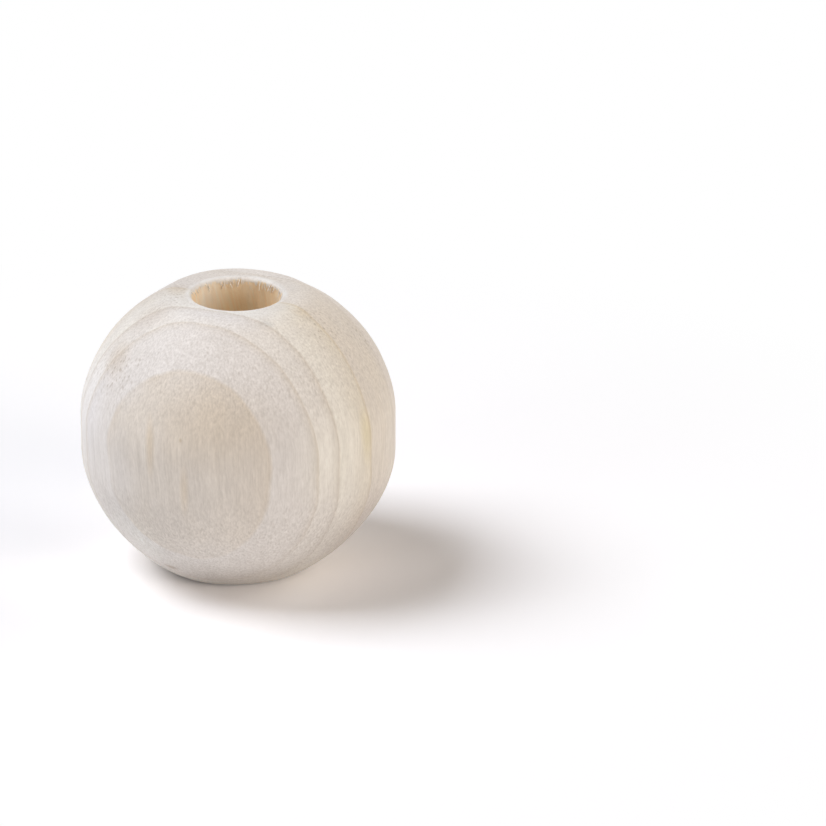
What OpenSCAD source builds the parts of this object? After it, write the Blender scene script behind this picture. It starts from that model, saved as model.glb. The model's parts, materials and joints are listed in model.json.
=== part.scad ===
// Turned wooden bead with a straight cord hole, standing on one of its two flat ends.
// Its outline is a chain of tangent arcs, drawn once as a half section and revolved in one piece.

/* [Overall] */
// Diameter across the narrow straight band at mid-height
band_d = 20; // [15:0.1:25]
// Height over the two flat ends
bead_h = 18.1; // [13.4:0.1:30]

/* [Cord hole] */
// Diameter of the straight hole
bore_d = 5.7; // [2:0.1:9]
// Radius that breaks the edge at each mouth of the hole
mouth_r = 0.25; // [0.05:0.05:0.8]

/* [Turned outline] */
// Height of the straight band, where the round stock was left uncut
band_h = 2; // [0.4:0.1:6]
// Radius that softens the two rims of the band, as far as the height leaves room for it
band_soft_r = 6; // [1:0.1:7]
// Width of the flat ring round each mouth
land_w = 0.7; // [0.2:0.05:1.5]
// Radius that softens the rims of the flat ends
soft_r = 2.5; // [0.5:0.1:5]

/* [Hidden] */
$fn = 128;
wood_colour = [0.89, 0.84, 0.77];

// The half section has X across the bead and Y along the hole, with its origin at mid-height
bore_r = bore_d / 2;
band_r = band_d / 2;
end_y = bead_h / 2;
band_rim_r = min(band_soft_r, end_y - band_h);

// Centres of the arcs that round the mouth, the rim of the flat end and the rim of the band
mouth_c = [bore_r + mouth_r, end_y - mouth_r];
end_rim_c = [bore_r + mouth_r + land_w, end_y - soft_r];
band_rim_c = [band_r - band_rim_r, band_h / 2];

// The shoulder is the one arc, centred at mid-height, that touches both rim arcs from outside.
// The two rims have different radii, so its centre is closed in on by halving.
function arc_reach(x, rim_c, rim_r) = norm(rim_c - [x, 0]) + rim_r;
function shoulder_at(low, high, halvings) =
  let(
    x = (low + high) / 2,
    too_far_in = arc_reach(x, end_rim_c, soft_r) < arc_reach(x, band_rim_c, band_rim_r)
  )
  halvings == 0 ? x
  : too_far_in ? shoulder_at(x, high, halvings - 1)
  : shoulder_at(low, x, halvings - 1);
shoulder_c = [shoulder_at(-10 * band_d, min(end_rim_c.x, band_rim_c.x), 50), 0];

// It is drawn a hair smaller, so that the arcs cross cleanly at any size where they would only touch
hair = 0.0002;
shoulder_r = arc_reach(shoulder_c.x, end_rim_c, soft_r) - hair;

function unit(v) = v / norm(v);

// What a corner loses when an arc takes its place, between the directions of the arc's two ends
module corner_waste(centre, radius, first, last) {
  reach = 2 * radius;
  difference() {
    polygon([
      centre,
      centre + reach * first,
      centre + reach * unit(first + last),
      centre + reach * last
    ]);
    translate(centre) circle(radius);
  }
}

// The three corners above mid-height
module upper_waste() {
  to_end_rim = unit(end_rim_c - shoulder_c);
  to_band_rim = unit(band_rim_c - shoulder_c);
  corner_waste(mouth_c, mouth_r, [-1, 0], [0, 1]);
  corner_waste(end_rim_c, soft_r, [0, 1], to_end_rim);
  corner_waste(band_rim_c, band_rim_r, to_band_rim, [1, 0]);
}

module half_section() {
  difference() {
    intersection() {
      translate([bore_r, -end_y]) square([band_r - bore_r, bead_h]);
      translate(shoulder_c) circle(shoulder_r);
    }
    upper_waste();
    mirror([0, 1]) upper_waste();
  }
}

module bead() {
  color(wood_colour) translate([0, 0, end_y]) rotate_extrude() half_section();
}

bead();
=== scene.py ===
import json
import math
import random
import bmesh
import bpy
from mathutils import Matrix, Vector, noise


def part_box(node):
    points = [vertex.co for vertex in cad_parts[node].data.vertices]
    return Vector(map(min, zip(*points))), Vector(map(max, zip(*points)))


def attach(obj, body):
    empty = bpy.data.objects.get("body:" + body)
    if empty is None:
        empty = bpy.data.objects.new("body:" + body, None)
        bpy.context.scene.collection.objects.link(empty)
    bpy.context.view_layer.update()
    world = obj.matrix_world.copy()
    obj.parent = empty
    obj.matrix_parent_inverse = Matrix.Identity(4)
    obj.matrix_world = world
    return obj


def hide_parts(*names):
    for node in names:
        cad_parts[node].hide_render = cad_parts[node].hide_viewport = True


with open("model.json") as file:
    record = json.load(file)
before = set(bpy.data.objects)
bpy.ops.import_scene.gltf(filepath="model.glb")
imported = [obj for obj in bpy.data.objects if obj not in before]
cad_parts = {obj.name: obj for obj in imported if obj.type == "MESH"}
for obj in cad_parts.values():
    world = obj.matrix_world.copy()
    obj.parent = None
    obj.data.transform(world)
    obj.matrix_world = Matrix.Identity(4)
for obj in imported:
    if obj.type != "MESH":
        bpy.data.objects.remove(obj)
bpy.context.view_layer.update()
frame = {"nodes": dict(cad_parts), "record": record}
mm = 0.001  # Blender works in metres, the sizes below are millimetres
mergeWithin = 0.0005  # vertices closer than this are one
print("frame loaded:", ", ".join(frame["nodes"]))

# Sizes that the frame already holds
lowCorner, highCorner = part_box("bead")
cordHole = next(m for m in frame["record"]["mounts"] if m["name"] == "cord_hole")
boreRadius = cordHole["dims"]["r_mm"]
bandRadius = (highCorner.x - lowCorner.x) / 2 / mm
beadHeight = highCorner.z / mm
midHeight = beadHeight / 2
mouthRadius = (beadHeight - cordHole["dims"]["length_mm"]) / 2

# Turned outline: the straight band, the soft rims and the shoulder between them
outline = {
    "bandHeight": 2.0,
    "bandSoft": 6.0,
    "flatRing": 0.7,
    "endSoft": 2.5,
    "quarterSteps": 140,
    "boreSteps": 10,
    "mouthDepth": 1.2,  # stretch of the bore wall next to the mouth, cut finer for the torn fibres
    "mouthSteps": 16,
    "mouthRoundSteps": 9,
    "flatSteps": 12,
    "endRimSteps": 10,
    "shoulderSteps": 20,
    "bandRimSteps": 6,
    "bandSteps": 2,
    "halvings": 50,  # that close in on the shoulder's centre
}


def lineTo(bm, vert, x, z, steps):
    # straight stretch of the outline from the last vertex, in even steps
    start, end = vert.co.copy(), Vector((x * mm, 0, z * mm))
    for step in range(1, steps + 1):
        vert = bmesh.ops.extrude_vert_indiv(bm, verts=[vert])["verts"][0]
        vert.co = start.lerp(end, step / steps)
    return vert


def arcTo(bm, vert, x, z, degrees, steps):
    # round stretch of the outline, turned clockwise about a centre at x, z
    made = bmesh.ops.spin(bm, geom=[vert], cent=(x * mm, 0, z * mm), axis=(0, 1, 0),
                          angle=math.radians(degrees), steps=steps)
    return next(g for g in made["geom_last"] if isinstance(g, bmesh.types.BMVert))


def mirrorAcross(bm, axis, height):
    # adds the other half, across a plane square to the axis
    half = bm.verts[:] + bm.edges[:] + bm.faces[:]
    bmesh.ops.mirror(bm, geom=half, axis=axis, merge_dist=mergeWithin * mm,
                     matrix=Matrix.Translation((0, 0, -height * mm)))


def shoulderCentre(endRim, bandRim):
    # the shoulder is the arc, centred at mid-height, that touches both rim arcs. The search starts far out.
    low, high = -20 * bandRadius, min(endRim.x, bandRim.x)
    for halving in range(outline["halvings"]):
        centre = Vector(((low + high) / 2, 0))
        endReach = (endRim - centre).length + outline["endSoft"]
        bandReach = (bandRim - centre).length + outline["bandSoft"]
        low, high = (centre.x, high) if endReach < bandReach else (low, centre.x)
    return centre


def turnBead(bm):
    # rim centres across the bead and above mid-height
    endRim = Vector((boreRadius + mouthRadius + outline["flatRing"], midHeight - outline["endSoft"]))
    bandRim = Vector((bandRadius - outline["bandSoft"], outline["bandHeight"] / 2))
    shoulder = shoulderCentre(endRim, bandRim)
    endTurn = math.degrees(math.atan2(endRim.x - shoulder.x, endRim.y))
    bandTurn = math.degrees(math.atan2(bandRim.x - shoulder.x, bandRim.y))

    mouthAt = beadHeight - mouthRadius  # where the bore wall ends and its edge begins to round
    last = bm.verts.new((boreRadius * mm, 0, midHeight * mm))
    last = lineTo(bm, last, boreRadius, mouthAt - outline["mouthDepth"], outline["boreSteps"])
    last = lineTo(bm, last, boreRadius, mouthAt, outline["mouthSteps"])
    last = arcTo(bm, last, boreRadius + mouthRadius, mouthAt, 90, outline["mouthRoundSteps"])
    last = lineTo(bm, last, endRim.x, beadHeight, outline["flatSteps"])
    last = arcTo(bm, last, endRim.x, midHeight + endRim.y, endTurn, outline["endRimSteps"])
    last = arcTo(bm, last, shoulder.x, midHeight, bandTurn - endTurn, outline["shoulderSteps"])
    last = arcTo(bm, last, bandRim.x, midHeight + bandRim.y, 90 - bandTurn, outline["bandRimSteps"])
    lineTo(bm, last, bandRadius, midHeight, outline["bandSteps"])

    mirrorAcross(bm, "Z", midHeight)
    bmesh.ops.spin(bm, geom=bm.verts[:] + bm.edges[:], cent=(0, 0, 0), axis=(0, 0, 1), angle=math.pi / 2,
                   steps=outline["quarterSteps"])
    mirrorAcross(bm, "X", 0)
    mirrorAcross(bm, "Y", 0)
    bmesh.ops.remove_doubles(bm, verts=bm.verts[:], dist=mergeWithin * mm)
    bmesh.ops.recalc_face_normals(bm, faces=bm.faces[:])


# What turning, sanding and handling left on the outside. The flats, and the swells with a depth below
# nothing, lie where the surface faces the way given.
wear = {
    "startsAt": 3.9,  # the flat rings stay true, so that the bead stands
    "fullFrom": 5.0,
    "uneven": [{"size": 4.5, "deep": 0.03}, {"size": 1.1, "deep": 0.007}],
    "flats": [
        {"toward": (0.743, -0.254, -0.619), "reach": 9, "deep": 0.09},
        {"toward": (0.588, -0.307, -0.748), "reach": 8, "deep": 0.10},
        {"toward": (0.423, -0.344, -0.838), "reach": 8, "deep": 0.06},
        {"toward": (-0.309, -0.360, -0.880), "reach": 14, "deep": -0.10},
        {"toward": (-0.485, 0.331, 0.809), "reach": 8, "deep": 0.06},
        {"toward": (-0.070, 0.378, 0.923), "reach": 13, "deep": -0.07},
        {"toward": (0.407, 0.346, 0.845), "reach": 6, "deep": 0.07},
        {"toward": (0.819, 0.217, 0.531), "reach": 13, "deep": -0.07},
        {"toward": (0.956, -0.111, -0.271), "reach": 12, "deep": -0.05},
        {"toward": (-0.620, -0.640, 0.450), "reach": 16, "deep": 0.05},
        {"toward": (-0.350, 0.900, -0.260), "reach": 18, "deep": 0.07},
        {"toward": (0.500, 0.600, -0.620), "reach": 12, "deep": 0.06},
    ],
}
# Fibres that the drill tore at the two mouths instead of cutting
tear = {
    "deepest": 0.6,  # the wall is fully rough from here down
    "inward": 0.035,  # how far the longest torn ends lean into the hole
    "leanEnds": 0.1,
    "fullHang": 0.3,
    "edge": 0.15,  # how far down the pale rim reaches where nothing is torn
    "teeth": [{"size": 0.14, "long": 0.18}, {"size": 0.42, "long": 0.14}],
    "toothFrom": 0.0,
    "toothFull": 0.25,
    "soft": 0.025,
    "upper": {"worst": 65, "seed": 3.7},
    "lower": {"worst": 200, "seed": 11.3},
    "least": 0.25,
    "wallRough": 0.03,
    "wallFine": 2.4,  # lumps for each millimetre round the wall, and along it
    "wallLong": 0.35,
}


def smoothStep(value, low, high):
    share = min(max((value - low) / (high - low), 0), 1)
    return share * share * (3 - 2 * share)


def wearDown(bm):
    bm.normal_update()
    flats = [(Vector(flat["toward"]).normalized(), flat["reach"], flat["deep"]) for flat in wear["flats"]]
    for vert in bm.verts:
        spot = vert.co / mm - Vector((0, 0, midHeight))
        across = spot.xy.length
        free = smoothStep(across, wear["startsAt"], wear["fullFrom"])
        if free == 0:
            continue
        push = sum(swell["deep"] * noise.noise(spot / swell["size"]) for swell in wear["uneven"])
        for toward, reach, deep in flats:
            turned = math.degrees(vert.normal.angle(toward)) / reach
            push -= deep * math.exp(-turned * turned)
        push = min(push * free, bandRadius - across)  # nothing stands past the band
        vert.co += vert.normal * push * mm


def toothAt(around, size, seed):
    # how much of a torn fibre hangs here, from none to all of it
    turn = boreRadius / size
    lump = noise.noise(Vector((math.cos(around) * turn, math.sin(around) * turn, seed)))
    return smoothStep(lump, tear["toothFrom"], tear["toothFull"])


def raggedAt(around, end):
    # how badly the mouth is torn here, worst on one side of it
    side = 0.5 + 0.5 * math.cos(around - math.radians(end["worst"]))
    return tear["least"] + (1 - tear["least"]) * side


def tearMouths(bm):
    drilled = bm.verts.layers.float.new("drilled")
    for vert in bm.verts:
        spot = vert.co / mm
        across = spot.xy.length
        if across > boreRadius + mouthRadius + outline["flatRing"]:
            continue
        upper = spot.z > midHeight
        end = tear["upper"] if upper else tear["lower"]
        depth = beadHeight - spot.z if upper else spot.z
        around = math.atan2(spot.y, spot.x)
        outward = Vector((math.cos(around), math.sin(around), 0))
        ragged = raggedAt(around, end)
        hang = sum(tooth["long"] * toothAt(around, tooth["size"], end["seed"]) for tooth in tear["teeth"])
        border = tear["edge"] + ragged * hang
        inside = 1 - smoothStep(across, boreRadius + mouthRadius / 2, boreRadius + mouthRadius)
        vert[drilled] = inside * smoothStep(depth, border - tear["soft"], border + tear["soft"])
        # the torn ends lean into the hole, and the wall below them is rough from the drill
        lean = smoothStep(depth, 0, border / 2) * (1 - smoothStep(depth, border, border + tear["leanEnds"]))
        lean *= tear["inward"] * ragged * hang / tear["fullHang"]
        fine, long = tear["wallFine"], tear["wallLong"]
        wall = noise.noise(Vector((spot.x * fine, spot.y * fine, spot.z * long)))
        rough = tear["wallRough"] * wall * smoothStep(depth, border, tear["deepest"])
        vert.co -= outward * (lean + rough) * inside * mm


# Loose ends of fibre that still hang in the mouths
strands = {
    "seed": 5,
    "tries": 70,  # for each mouth, the fewer of them kept the less torn the place is
    "root": 0.034,
    "tip": 0.016,
    "sides": 5,
    "long": (0.15, 0.65),
    "sunk": 0.06,  # the root stands this deep in the wood
    "below": (0.07, 0.22),
    "droop": (40, 82),  # degrees below level
    "sideways": 55,
}


def hangStrands(bm):
    pick = random.Random(strands["seed"])
    for end, upright in ((tear["upper"], 1), (tear["lower"], -1)):
        for strand in range(strands["tries"]):
            around = pick.uniform(0, 2 * math.pi)
            reach = pick.uniform(*strands["long"])
            depth = pick.uniform(*strands["below"])
            droop = math.radians(pick.uniform(*strands["droop"]))
            turn = math.radians(pick.uniform(-strands["sideways"], strands["sideways"]))
            if pick.random() > raggedAt(around, end):
                continue
            cone = bmesh.ops.create_cone(bm, cap_ends=True, segments=strands["sides"], depth=reach * mm,
                                         radius1=strands["root"] * mm, radius2=strands["tip"] * mm)
            height = midHeight + upright * (midHeight - depth)
            root = Matrix.Translation((-(boreRadius + strands["sunk"]) * mm, 0, 0))
            lean = Matrix.Rotation(turn, 4, "Z") @ Matrix.Rotation(math.pi / 2 + upright * droop, 4, "Y")
            ahead = Matrix.Translation((0, 0, reach / 2 * mm))
            lift = Matrix.Translation((0, 0, height * mm))
            place = lift @ Matrix.Rotation(around + math.pi, 4, "Z") @ root @ lean @ ahead
            bmesh.ops.transform(bm, matrix=place, verts=cone["verts"])
    bmesh.ops.recalc_face_normals(bm, faces=bm.faces[:])


# the strands are made first and joined last, so that they stay flat shaded
mesh = bpy.data.meshes.new("turned_bead")
bm = bmesh.new()
hangStrands(bm)
bm.to_mesh(mesh)
bm.clear()
turnBead(bm)
wearDown(bm)
tearMouths(bm)
for face in bm.faces:
    face.smooth = True
bm.from_mesh(mesh)
bm.to_mesh(mesh)
bm.free()
bead = bpy.data.objects.new("turned_bead", mesh)
bpy.context.scene.collection.objects.link(bead)
triangles = sum(len(face.vertices) - 2 for face in mesh.polygons)
print("bead turned:", len(mesh.vertices), "vertices,", triangles, "triangles")


def put(tree, kind, inputs=None, **settings):
    # one shader node with its settings, its inputs given as values or as sockets to link from
    node = tree.nodes.new("ShaderNode" + kind)
    for name, value in settings.items():
        setattr(node, name, value)
    for name, value in (inputs or {}).items():
        if isinstance(value, bpy.types.NodeSocket):
            tree.links.new(value, node.inputs[name])
        else:
            node.inputs[name].default_value = value
    return node


def ranged(tree, value, low=0.0, high=1.0, least=0.0, most=1.0, **settings):
    # a value between low and high, brought to the range from least to most
    return put(tree, "MapRange", {0: value, 1: low, 2: high, 3: least, 4: most}, **settings).outputs[0]


# Pale fine-grained wood. The pith runs outside the bead, in front and to the left of it, and leans
# a little. Each ring: where its dark edge lies, measured from the pith, how far before it the wood begins to
# darken, its colour at the edge and its colour just beyond. A ring with a line ends in a thin darker one.
wood = {
    "pale": (0.842, 0.776, 0.720, 1),
    "pith": (-16.26, -41.7, 0),
    "pithLean": (-6.6, -6.5, 0),
    "fibreLean": (-6.6, -1.5, 0),
    "wander": 0.35,  # how far the rings stray from true circles
    "wanderScale": (0.16, 0.16, 0.07),
    "wanderDetail": 5.0,
    "innermost": 34,
    "outermost": 56,
    "core": (0.966, 0.936, 0.880),
    "rings": [
        {"at": 36.62, "before": 1.4, "line": 0.16,
         "edge": (0.935, 0.880, 0.785), "beyond": (1.020, 1.020, 1.015)},
        {"at": 39.15, "before": 0.5, "line": 0.13,
         "edge": (0.905, 0.865, 0.790), "beyond": (1.070, 1.070, 1.040)},
        {"at": 40.72, "before": 0.6, "line": 0.13,
         "edge": (0.890, 0.845, 0.755), "beyond": (1.105, 1.110, 1.050)},
        {"at": 43.76, "before": 2.0, "line": 0.16,
         "edge": (0.865, 0.775, 0.580), "beyond": (0.980, 0.940, 0.850)},
        {"at": 47.70, "before": 0.7,
         "edge": (0.925, 0.880, 0.790), "beyond": (1.010, 0.980, 0.915)},
        {"at": 50.40, "before": 0.9, "line": 0.12,
         "edge": (0.900, 0.850, 0.750), "beyond": (1.000, 0.975, 0.915)},
        {"at": 52.50, "before": 0.6,
         "edge": (0.920, 0.880, 0.800), "beyond": (1.000, 0.980, 0.930)},
    ],
    "ringStart": 0.1,  # share of the edge's colour where the wood begins to darken
    "lineStart": 0.5,
    "ringEdge": 0.1,  # how quickly the dark edge turns light again
    "patchy": 0.8,  # in places the rings keep only this much of their strength
    "patchSpan": (0.35, 0.6),
    "blurred": 0.25,
    "faint": 0.55,  # and they grow fainter towards the lower end
    "faintFrom": 1.0,
    "faintTo": -6.5,
    "shades": (0.92, 1.0, 1.1),  # the grain varies a little more in blue
    "sideTo": 1.5,  # within this height of the middle the surface runs along the fibres
    "endFrom": 4.5,  # and from this one on it cuts across them
    "noiseRough": 0.6,
    "noiseSpan": (0.3, 0.7),
    "speckle": {"across": 8.5, "along": 0.3, "detail": 1.5, "aside": 0.045, "ends": 0.115},
    "mottle": {"across": 5.2, "along": 0.7, "detail": 2.0, "aside": 0.0, "ends": 0.06},
    "fibres": {"across": 7.0, "along": 0.03, "detail": 2.0, "aside": 0.068, "ends": 0.02},
    "bands": {"across": 1.5, "along": 0.04, "detail": 2.0, "aside": 0.035, "ends": 0.015},
    "clouds": {"across": 0.45, "along": 0.4, "detail": 2.0, "aside": 0.03, "ends": 0.03},
    "pores": {"across": 3.6, "along": 0.45, "core": 0.1, "size": 0.38,
              "aside": 0.03, "ends": 0.13, "clustered": 0.52},
    "poreBrown": (0.36, 0.26, 0.16, 1),
    "bump": 0.12,
    "bumpHeight": 0.02,
    "roughness": (0.54, 0.62),
    "fuzz": 0.1,  # raw wood looks paler where it turns away
}
fullWithin = 0.1  # a mark is at its fullest within this share of its reach
# Stains and marks, each at a place measured from the bead's middle. Several of them are painted light and
# painted shade, as noted at each.
marks = [
    {"at": (-1.8, -8.8, 3.6), "reach": (5.5, 3.5, 3.8), "tint": (0.955, 0.920, 0.860, 1)},
    {"at": (-5.5, -8.0, 2.0), "reach": (0.42, 1.4, 2.8), "tint": (0.975, 0.925, 0.840, 1)},
    {"at": (-3.4, -9.3, -0.4), "reach": (0.42, 1.0, 2.2), "tint": (0.980, 0.940, 0.870, 1)},
    {"at": (-3.6, -9.05, 2.8), "reach": (0.16, 0.5, 0.2), "tint": (0.86, 0.82, 0.74, 1)},
    {"at": (1.85, -4.6, 8.8), "reach": (0.7, 0.35, 0.5), "tint": (0.87, 0.88, 0.89, 1)},
    {"at": (-4.3, -5.5, -7.25), "reach": (0.7, 0.8, 0.32), "tint": (0.74, 0.68, 0.60, 1)},
    {"at": (-7.5, -3.0, 5.9), "reach": (1.6, 1.8, 1.9), "tint": (0.90, 0.865, 0.82, 1)},
    {"at": (-3.8, 0.8, 9.05), "reach": (0.9, 1.3, 0.6), "tint": (0.93, 0.90, 0.86, 1)},
    {"at": (4.1, -2.75, 8.8), "reach": (1.1, 0.7, 0.7), "tint": (0.95, 0.92, 0.88, 1)},
    # painted sheen: paler and cooler on the far left, where the key's light grazes
    {"at": (-9.3, -1.5, 2.5), "reach": (3.0, 5.0, 6.5), "tint": (1.005, 1.03, 1.085, 1)},
    # painted shade: darker and a little cooler on the upper left towards the back, against the key's light
    # there
    {"at": (-5.0, 2.5, 7.2), "reach": (6.5, 6.5, 4.5), "tint": (0.940, 0.950, 1.000, 1)},
    # painted shadow: darker low on the right front
    {"at": (7.6, -4.6, -5.2), "reach": (5.0, 5.0, 4.5), "tint": (0.865, 0.845, 0.860, 1)},
    {"at": (8.0, -5.8, 1.8), "reach": (0.7, 1.0, 2.8), "tint": (1.0, 0.975, 0.84, 1)},
    # painted light: paler on the right front, just above the middle
    {"at": (5.0, -8.0, 1.0), "reach": (3.2, 3.0, 4.5), "tint": (1.05, 1.055, 1.03, 1)},
    {"at": (-5.2, -1.8, 8.2), "reach": (2.6, 2.0, 1.8), "tint": (0.93, 0.905, 0.885, 1)},
    # painted shade: a little darker on the flat end in front of the upper mouth
    {"at": (0.3, -4.6, 8.7), "reach": (2.5, 1.8, 1.4), "tint": (0.955, 0.955, 0.965, 1)},
    # painted light: paler low on the left front
    {"at": (-6.3, -5.6, -5.0), "reach": (3.5, 3.0, 3.2), "tint": (1.11, 1.135, 1.14, 1)},
    # painted shade: darker along the bottom at the front, next to the table
    {"at": (-0.2, -6.0, -7.7), "reach": (7.0, 3.6, 2.2), "tint": (0.835, 0.815, 0.800, 1)},
]
# Places where the pores crowd together and show dark
clusters = [
    {"at": (-7.3, -3.8, 5.3), "reach": (3.0, 3.0, 2.8)},
    {"at": (-5.6, -1.6, 8.2), "reach": (1.8, 0.9, 1.2)},
    {"at": (-3.9, 0.0, 8.9), "reach": (1.6, 2.0, 1.4)},
    {"at": (4.9, -3.2, 8.0), "reach": (2.4, 2.2, 2.0)},
    {"at": (7.7, -0.6, 6.3), "reach": (1.6, 2.6, 1.9)},
]
# Places where the rings blur away
blurs = [
    {"at": (-6.9, -5.2, 5.2), "reach": (2.4, 2.2, 2.4)},
    {"at": (-7.6, -6.2, -0.8), "reach": (2.4, 3.0, 4.6)},
    {"at": (0.0, -8.2, -5.8), "reach": (6.5, 3.0, 3.0)},
]
# The drilled wall, browner than the outside and streaked along the hole
drilledWall = {
    "deep": (1.0, 0.79, 0.54, 1),
    "pale": (1.0, 0.87, 0.66, 1),
    "twist": -0.07,  # the streaks lean, in radians for each millimetre
    "streaks": {"across": 2.2, "along": 0.1, "detail": 2.0},
    "scratches": {"across": 7.0, "along": 0.06, "detail": 1.0},
    "streakSpan": (0.82, 1.22),
    "rimPale": (1.01, 1.035, 1.085, 1),
    "rimFrom": 2.6,  # out from the hole, where the pale rim begins and where it is full
    "rimFull": 1.04,
    # the lip is partly pale torn fibre and partly a painted highlight where the mouth's edge catches the
    # light
    "lipPale": (1.0, 0.975, 0.935, 1),
    "lipAmount": 0.8,
    "lipLeast": 0.35,  # share of the pale, highlighted lip that is left where it is frayed
    "fraySpan": (0.4, 0.6),
    "lipFrom": 0.46,
    "lipFull": 0.26,
    # painted light on the left side of the hole's wall, painted shade on the right side
    "marks": [
        # painted light: the left side of the hole's wall paler and bluer
        {"at": (-1.9, 2.1, 7.6), "reach": (1.5, 1.7, 3.2), "tint": (0.99, 1.12, 1.36, 1)},
        # painted shade: the right side of the hole's wall darker
        {"at": (2.0, 2.0, 7.6), "reach": (1.7, 1.9, 3.5), "tint": (0.90, 0.84, 0.76, 1)},
    ],
}


def mixColour(tree, amount, first, second, blend="MIX"):
    node = put(tree, "Mix", {0: amount, 6: first, 7: second}, data_type="RGBA", blend_type=blend)
    return node.outputs[2]


def stretched(tree, place, sizes):
    # coordinates for a pattern that is fine across the grain and long along it
    across = sizes["across"]
    scale = (across, across, across * sizes["along"])
    return put(tree, "Mapping", {"Vector": place, "Scale": scale}).outputs[0]


def noiseAt(tree, spot, detail):
    inputs = {"Vector": spot, "Scale": 1.0, "Detail": detail, "Roughness": wood["noiseRough"]}
    return put(tree, "TexNoise", inputs).outputs


def grainNoise(tree, place, sizes):
    return noiseAt(tree, stretched(tree, place, sizes), sizes["detail"])["Fac"]


def shaded(tree, colour, amount, deep):
    # darkens and lightens the wood by a grain pattern
    shades = [deep * share for share in wood["shades"]]
    share = ranged(tree, amount, *wood["noiseSpan"])
    tone = mixColour(tree, share, (*(1 - d for d in shades), 1), (*(1 + d for d in shades), 1))
    return mixColour(tree, 1.0, colour, tone, "MULTIPLY")


def ringColours(tree, place):
    # distance from the pith, a little uneven, run through one ramp that holds every ring
    slow = put(tree, "Mapping", {"Vector": place, "Scale": wood["wanderScale"]}).outputs[0]
    stray = noiseAt(tree, slow, wood["wanderDetail"])["Color"]
    centred = put(tree, "VectorMath", {0: stray, 1: (0.5, 0.5, 0.5)}, operation="SUBTRACT")
    shift = put(tree, "VectorMath", {0: centred.outputs[0], "Scale": 2 * wood["wander"]}, operation="SCALE")
    strayed = put(tree, "VectorMath", {0: place, 1: shift.outputs[0]}, operation="ADD")
    lean = [math.radians(a) for a in wood["pithLean"]]
    pithAxis = {"Vector": strayed.outputs[0], "Location": wood["pith"], "Rotation": lean}
    fromPith = put(tree, "Mapping", pithAxis, vector_type="TEXTURE")
    flat = put(tree, "VectorMath", {0: fromPith.outputs[0], 1: (1, 1, 0)}, operation="MULTIPLY")
    radius = put(tree, "VectorMath", {0: flat.outputs[0]}, operation="LENGTH")
    span = ranged(tree, radius.outputs["Value"], wood["innermost"], wood["outermost"])
    ramp = put(tree, "ValToRGB", {0: span})
    stops = ramp.color_ramp.elements
    reach = wood["outermost"] - wood["innermost"]
    inside = Vector(wood["core"])
    stops[0].color = (*inside, 1)
    for ring in wood["rings"]:
        edgeAt = (ring["at"] - wood["innermost"]) / reach
        edge, fade = Vector(ring["edge"]), ring["before"] / reach
        stops.new(edgeAt - fade).color = (*inside.lerp(edge, wood["ringStart"]), 1)
        if "line" in ring:
            stops.new(edgeAt - ring["line"] / reach).color = (*inside.lerp(edge, wood["lineStart"]), 1)
        stops.new(edgeAt).color = (*edge, 1)
        inside = Vector(ring["beyond"])
        stops.new(edgeAt + wood["ringEdge"] / reach).color = (*inside, 1)
    stops[len(stops) - 1].color = (*inside, 1)
    return ramp.outputs["Color"]


def endGrain(tree, grain):
    # towards the two ends the turning cuts across the fibres and the wood looks mottled
    height = put(tree, "SeparateXYZ", {0: grain}).outputs["Z"]
    away = put(tree, "Math", {0: height}, operation="ABSOLUTE").outputs[0]
    return ranged(tree, away, wood["sideTo"], wood["endFrom"])


def grained(tree, colour, pattern, sizes, ends):
    aside = shaded(tree, colour, pattern, sizes["aside"])
    return mixColour(tree, ends, aside, shaded(tree, colour, pattern, sizes["ends"]))


def nearby(tree, place, spot):
    # full at the spot, nothing beyond its reach
    away = put(tree, "VectorMath", {0: place, 1: spot["at"]}, operation="SUBTRACT")
    sized = put(tree, "VectorMath", {0: away.outputs[0], 1: spot["reach"]}, operation="DIVIDE")
    far = put(tree, "VectorMath", {0: sized.outputs[0]}, operation="LENGTH").outputs["Value"]
    return ranged(tree, far, 1.0, fullWithin, interpolation_type="SMOOTHSTEP")


# tints the colour where a mark lies, whether a stain or painted light and shade
def stainAndPaintedLight(tree, colour, place, mark):
    return mixColour(tree, nearby(tree, place, mark), colour, mark["tint"], "MULTIPLY")


def poreMask(tree, place, grain, ends):
    # how dark each pore is: faint along the side, deeper at the ends, deepest where they crowd together
    sizes = wood["pores"]
    cells = put(tree, "TexVoronoi", {"Vector": stretched(tree, grain, sizes), "Scale": 1.0})
    pore = ranged(tree, cells.outputs["Distance"], sizes["size"], sizes["core"])
    depth = ranged(tree, ends, least=sizes["aside"], most=sizes["ends"])
    for cluster in clusters:
        depth = ranged(tree, nearby(tree, place, cluster), least=depth, most=sizes["clustered"])
    return put(tree, "Math", {0: pore, 1: depth}, operation="MULTIPLY").outputs[0]


def wallColours(tree, place):
    # streaks along the hole, leaning a little with depth
    height = put(tree, "SeparateXYZ", {0: place}).outputs["Z"]
    turn = put(tree, "Math", {0: height, 1: drilledWall["twist"]}, operation="MULTIPLY").outputs[0]
    turned = put(tree, "VectorRotate", {"Vector": place, "Angle": turn}, rotation_type="Z_AXIS").outputs[0]
    streaks = grainNoise(tree, turned, drilledWall["streaks"])
    scratches = grainNoise(tree, turned, drilledWall["scratches"])
    both = put(tree, "Math", {0: streaks, 1: scratches}, operation="ADD").outputs[0]
    share = ranged(tree, both, *drilledWall["streakSpan"])
    return mixColour(tree, share, drilledWall["deep"], drilledWall["pale"])


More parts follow.
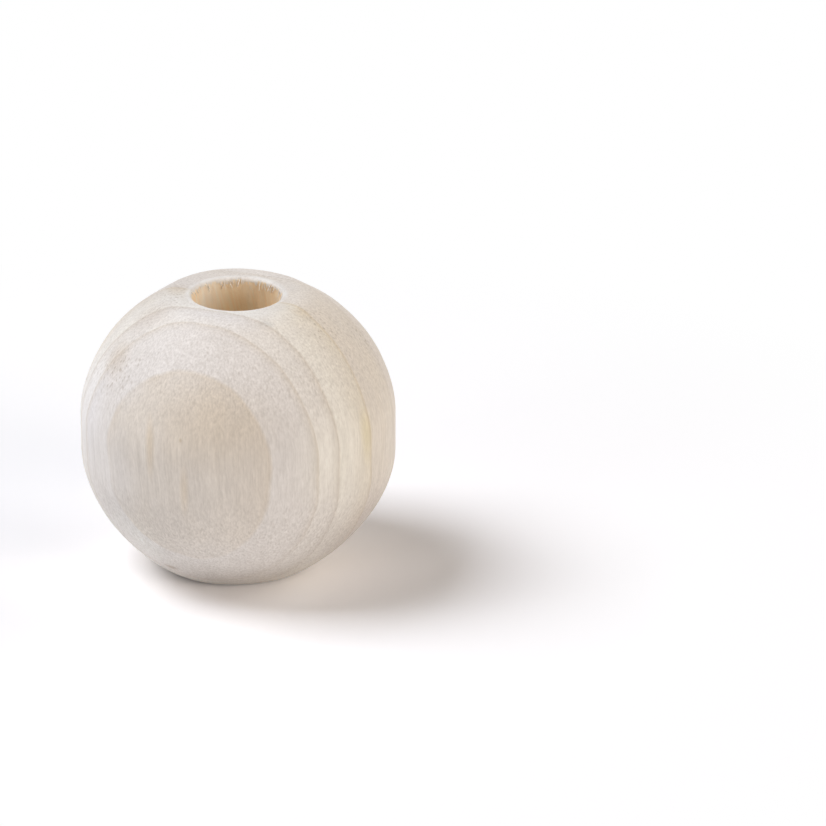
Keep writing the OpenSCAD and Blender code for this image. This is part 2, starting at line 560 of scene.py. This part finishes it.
def makeWood():
    material = bpy.data.materials.new("raw_wood")
    material.use_nodes = True
    tree = material.node_tree
    shader = tree.nodes["Principled BSDF"]
    coordinates = put(tree, "TexCoord")
    # millimetres, measured from the bead's middle
    place = put(tree, "Mapping", {"Vector": coordinates.outputs["Object"], "Location": (0, 0, -midHeight),
                                  "Scale": (1 / mm, 1 / mm, 1 / mm)}).outputs[0]
    lean = [math.radians(angle) for angle in wood["fibreLean"]]
    grain = put(tree, "Mapping", {"Vector": place, "Rotation": lean}, vector_type="TEXTURE").outputs[0]
    clouds = grainNoise(tree, grain, wood["clouds"])
    patches = ranged(tree, clouds, *wood["patchSpan"], least=wood["patchy"])
    height = put(tree, "SeparateXYZ", {0: place}).outputs["Z"]
    faint = ranged(tree, height, wood["faintFrom"], wood["faintTo"], least=1.0, most=wood["faint"])
    strength = put(tree, "Math", {0: patches, 1: faint}, operation="MULTIPLY").outputs[0]
    for blur in blurs:
        strength = ranged(tree, nearby(tree, place, blur), least=strength, most=wood["blurred"])
    colour = mixColour(tree, strength, wood["pale"], ringColours(tree, place), "MULTIPLY")
    for mark in marks:
        colour = stainAndPaintedLight(tree, colour, place, mark)

    # the grain, from the finest pattern to the slowest, then the pores
    ends = endGrain(tree, grain)
    speckle = grainNoise(tree, grain, wood["speckle"])
    colour = grained(tree, colour, speckle, wood["speckle"], ends)
    for name in ("mottle", "fibres", "bands"):
        colour = grained(tree, colour, grainNoise(tree, grain, wood[name]), wood[name], ends)
    colour = grained(tree, colour, clouds, wood["clouds"], ends)
    colour = mixColour(tree, poreMask(tree, place, grain, ends), colour, wood["poreBrown"])

    # the rim of each mouth is paler; its lip is pale from torn fibre ends and carries a painted highlight
    # where the edge catches the light; the wall below the torn fibres is tan
    flat = put(tree, "VectorMath", {0: place, 1: (1, 1, 0)}, operation="MULTIPLY")
    axisDistance = put(tree, "VectorMath", {0: flat.outputs[0]}, operation="LENGTH").outputs["Value"]
    rimOut, rimIn = boreRadius + drilledWall["rimFrom"], boreRadius + drilledWall["rimFull"]
    nearMouth = ranged(tree, axisDistance, rimOut, rimIn)
    colour = mixColour(tree, nearMouth, colour, drilledWall["rimPale"], "MULTIPLY")
    lipOut, lipIn = boreRadius + drilledWall["lipFrom"], boreRadius + drilledWall["lipFull"]
    lip = ranged(tree, axisDistance, lipOut, lipIn, most=drilledWall["lipAmount"])
    frayed = ranged(tree, clouds, *drilledWall["fraySpan"], least=drilledWall["lipLeast"])
    lip = put(tree, "Math", {0: lip, 1: frayed}, operation="MULTIPLY").outputs[0]
    colour = mixColour(tree, lip, colour, drilledWall["lipPale"])
    drilled = put(tree, "Attribute", attribute_name="drilled").outputs["Fac"]
    wall = wallColours(tree, place)
    for mark in drilledWall["marks"]:
        wall = stainAndPaintedLight(tree, wall, place, mark)
    colour = mixColour(tree, drilled, colour, wall)

    tree.links.new(colour, shader.inputs["Base Color"])
    smoothest, roughest = wood["roughness"]
    rough = ranged(tree, speckle, *wood["noiseSpan"], least=roughest, most=smoothest)
    tree.links.new(rough, shader.inputs["Roughness"])
    raised = {"Height": speckle, "Strength": wood["bump"], "Distance": wood["bumpHeight"] * mm}
    tree.links.new(put(tree, "Bump", raised).outputs[0], shader.inputs["Normal"])
    shader.inputs["Sheen Weight"].default_value = wood["fuzz"]
    return material


mesh.materials.append(makeWood())
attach(bead, "root")
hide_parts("bead")
print("wood finish set")

# Camera, at the photograph's viewing angle: the bead stands left of the middle of the frame
shot = {
    "elevation": 22.3,
    "distance": 400,
    "frameWidth": 52.52,  # how wide the picture is at the bead
    "besideBead": 11.12,  # the picture's middle lies this far right of the bead's centre
    "aboveBead": 0.72,
    "sensor": 36,
    "clipFrom": 10,
}


def setCamera():
    tilt = math.radians(shot["elevation"])
    centre = Vector((0, 0, midHeight))
    back = Vector((0, -math.cos(tilt), math.sin(tilt)))
    up = Vector((0, math.sin(tilt), math.cos(tilt)))
    place = centre + back * shot["distance"]
    target = centre + Vector((shot["besideBead"], 0, 0)) + up * shot["aboveBead"]
    lens = bpy.data.cameras.new("shot")
    lens.sensor_width = shot["sensor"]
    lens.lens = lens.sensor_width * shot["distance"] / shot["frameWidth"]
    lens.clip_start = shot["clipFrom"] * mm
    camera = bpy.data.objects.new("shot", lens)
    camera.location = place * mm
    camera.rotation_euler = (target - place).to_track_quat("-Z", "Y").to_euler()
    bpy.context.scene.collection.objects.link(camera)
    bpy.context.scene.camera = camera


setCamera()

# Pale table and soft light
studio = {
    "tableSize": 3000,
    "tableSides": 128,
    "tablePaper": (0.81, 0.81, 0.81, 1),
    "tableSeen": (1.23, 1.205, 1.20, 1),  # to the camera, just enough to read as white
    "fadeFrom": 18,  # and farther out it fades to plain white
    "fadeTo": 55,
    "skyLevel": 0.03,
    "skyColour": (1.0, 0.89, 0.97, 1),
}
softboxes = {
    "key": {"from": (-0.575, 0.118, 0.810), "away": 700,
            "size": 437, "watts": 3.90, "colour": (0.97, 1.0, 1.06)},
    "fill": {"from": (0.695, -0.660, 0.280), "away": 500,
             "size": 220, "watts": 0.87, "colour": (1.08, 1.0, 0.92)},
    "edge": {"from": (0.861, 0.231, 0.454), "away": 500,
             "size": 280, "watts": 0.61, "colour": (1.03, 1.0, 0.96)},
    "front": {"from": (-0.720, -0.670, 0.180), "away": 500,
              "size": 160, "watts": 0.37, "colour": (0.98, 1.0, 1.03)},
}


def seenDirectly(tree):
    # the camera, and reflections, look at a white background
    path = put(tree, "LightPath").outputs
    seen = path["Is Camera Ray"]
    for other in ("Is Glossy Ray", "Is Transmission Ray"):
        seen = put(tree, "Math", {0: seen, 1: path[other]}, operation="MAXIMUM").outputs[0]
    return seen


def makeTable():
    bm = bmesh.new()
    bmesh.ops.create_circle(bm, cap_ends=True, segments=studio["tableSides"],
                            radius=studio["tableSize"] / 2 * mm)
    mesh = bpy.data.meshes.new("table")
    bm.to_mesh(mesh)
    bm.free()
    table = bpy.data.objects.new("table", mesh)
    bpy.context.scene.collection.objects.link(table)
    material = bpy.data.materials.new("table_paper")
    material.use_nodes = True
    tree = material.node_tree
    tree.nodes.clear()
    seen = seenDirectly(tree)
    colour = mixColour(tree, seen, studio["tablePaper"], studio["tableSeen"])
    paper = put(tree, "BsdfDiffuse", {"Color": colour})
    spot = put(tree, "TexCoord").outputs["Object"]
    away = put(tree, "VectorMath", {0: spot}, operation="LENGTH").outputs["Value"]
    outer = ranged(tree, away, studio["fadeFrom"] * mm, studio["fadeTo"] * mm)
    faded = put(tree, "Math", {0: outer, 1: seen}, operation="MULTIPLY").outputs[0]
    white = put(tree, "Emission", {"Color": (1, 1, 1, 1), "Strength": 1.0})
    surface = put(tree, "MixShader", {0: faded, 1: paper.outputs[0], 2: white.outputs[0]})
    put(tree, "OutputMaterial", {"Surface": surface.outputs[0]})
    material.cycles.emission_sampling = "NONE"  # the white lights nothing
    mesh.materials.append(material)


def makeSky():
    world = bpy.data.worlds.new("studio")
    world.use_nodes = True
    tree = world.node_tree
    tree.nodes.clear()
    seen = seenDirectly(tree)
    level = ranged(tree, seen, least=studio["skyLevel"])
    colour = mixColour(tree, seen, studio["skyColour"], (1, 1, 1, 1))
    sky = put(tree, "Background", {"Color": colour, "Strength": level})
    put(tree, "OutputWorld", {"Surface": sky.outputs[0]})
    bpy.context.scene.world = world


def hangSoftbox(name, box):
    lamp = bpy.data.lights.new(name, "AREA")
    lamp.shape = "SQUARE"
    lamp.size = box["size"] * mm
    lamp.energy = box["watts"]
    lamp.color = box["colour"]
    light = bpy.data.objects.new(name, lamp)
    aim = Vector(box["from"]).normalized()
    light.location = (Vector((0, 0, midHeight)) + aim * box["away"]) * mm
    light.rotation_euler = aim.to_track_quat("Z", "Y").to_euler()
    bpy.context.scene.collection.objects.link(light)


makeTable()
makeSky()
for name, box in softboxes.items():
    hangSoftbox(name, box)
bpy.context.scene.view_settings.view_transform = "Standard"
print("table, light and camera set")
